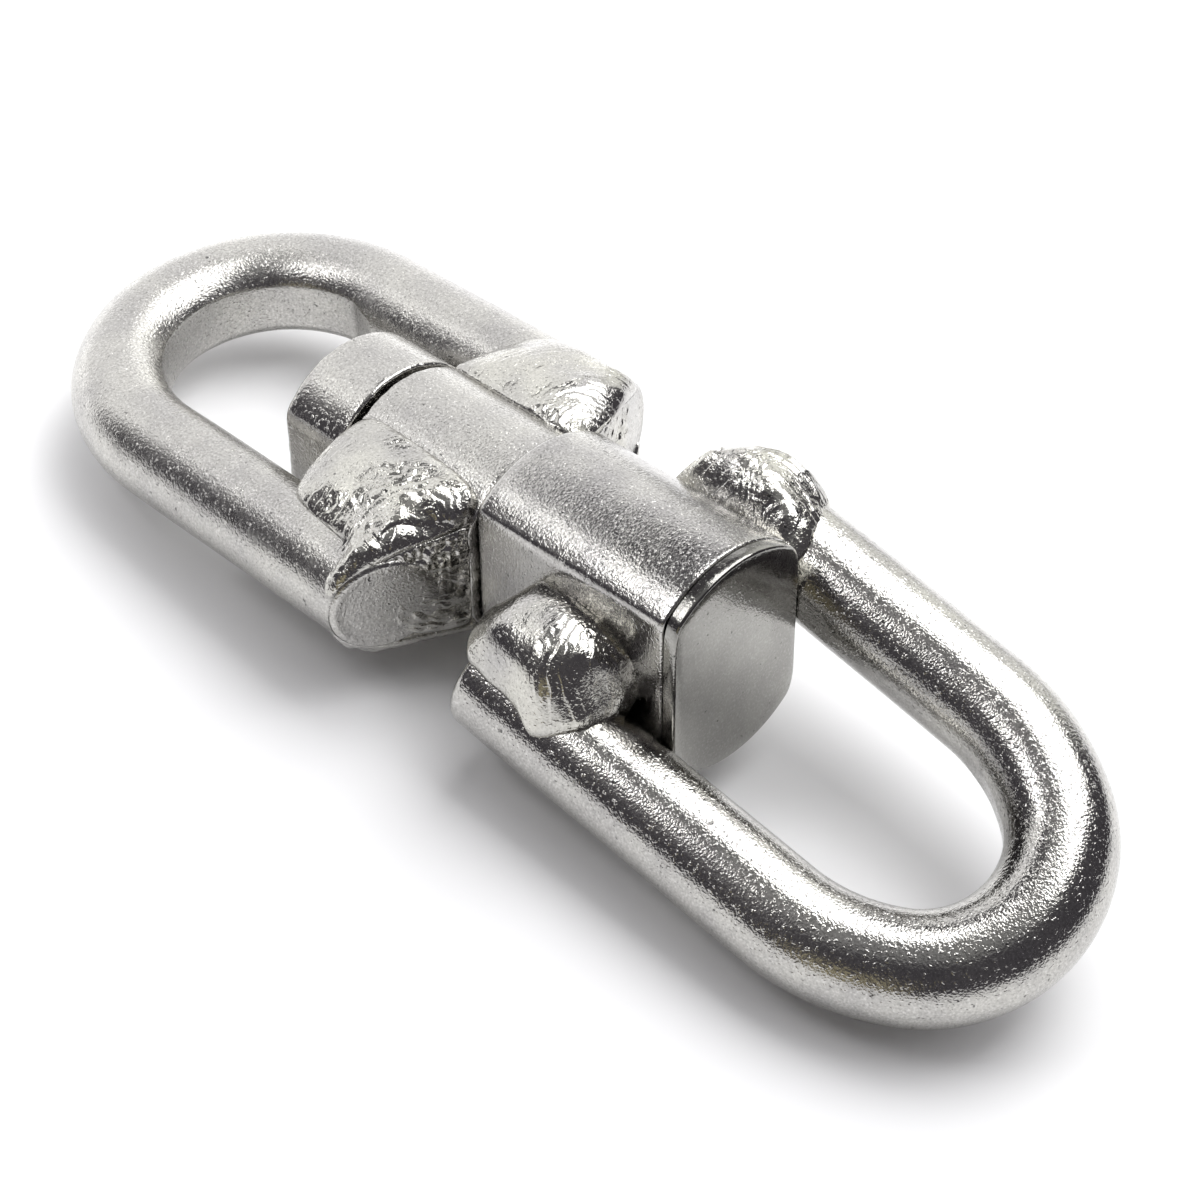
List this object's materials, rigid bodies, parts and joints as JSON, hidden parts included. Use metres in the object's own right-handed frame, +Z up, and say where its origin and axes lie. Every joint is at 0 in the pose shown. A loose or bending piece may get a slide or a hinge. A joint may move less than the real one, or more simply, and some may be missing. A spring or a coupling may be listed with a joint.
{
  "type": "anchor swivel",
  "caption": "Welded stainless anchor swivel: round-bar bows welded to hubs, the smaller hub turning freely on a headed pin held by a collar.",
  "frame": {"origin": "middle of the overall box, at its lowest point, where the swivel lies on a flat surface", "axes": "+X along the length from the small bow to the large bow, +Y across the bows, +Z up; the pin's axis rises 6.5 degrees towards +X because the large hub holds it up"},
  "size_m": [0.19, 0.0652, 0.0417],
  "materials": {
    "large_bar": "tumble-polished bar, bright with fine speckle",
    "small_bar": "tumbled satin bar",
    "hub_steel": "polished, fine pitting, light grinding marks",
    "small_hub_steel": "tumbled satin, fine pitting",
    "pin_steel": "turned and satin polished",
    "collar_steel": "satin polished, speckled",
    "weld_metal": "bright rippled weld bead"
  },
  "bodies": {
    "large_side": {"large_hub": "hub_steel", "swivel_pin": "pin_steel", "retaining_collar": "collar_steel", "pin_end_weld": "weld_metal", "large_bow": "large_bar", "large_near_top_weld": "weld_metal", "large_near_bottom_weld": "weld_metal", "large_near_heel_weld": "weld_metal", "large_near_toe_weld": "weld_metal", "large_far_top_weld": "weld_metal", "large_far_bottom_weld": "weld_metal", "large_far_heel_weld": "weld_metal", "large_far_toe_weld": "weld_metal"},
    "small_side": {"small_hub": "small_hub_steel", "small_bow": "small_bar", "small_near_top_weld": "weld_metal", "small_near_bottom_weld": "weld_metal", "small_near_root_weld": "weld_metal", "small_far_top_weld": "weld_metal", "small_far_bottom_weld": "weld_metal", "small_far_root_weld": "weld_metal"}
  },
  "joints": [
    {"name": "swivel", "type": "hinge", "parent": "large_side", "child": "small_side", "pos_m": [-0.0057, 0.00003, 0.01968], "axis": [0.9936, 0, 0.1132], "continuous": true}
  ]
}
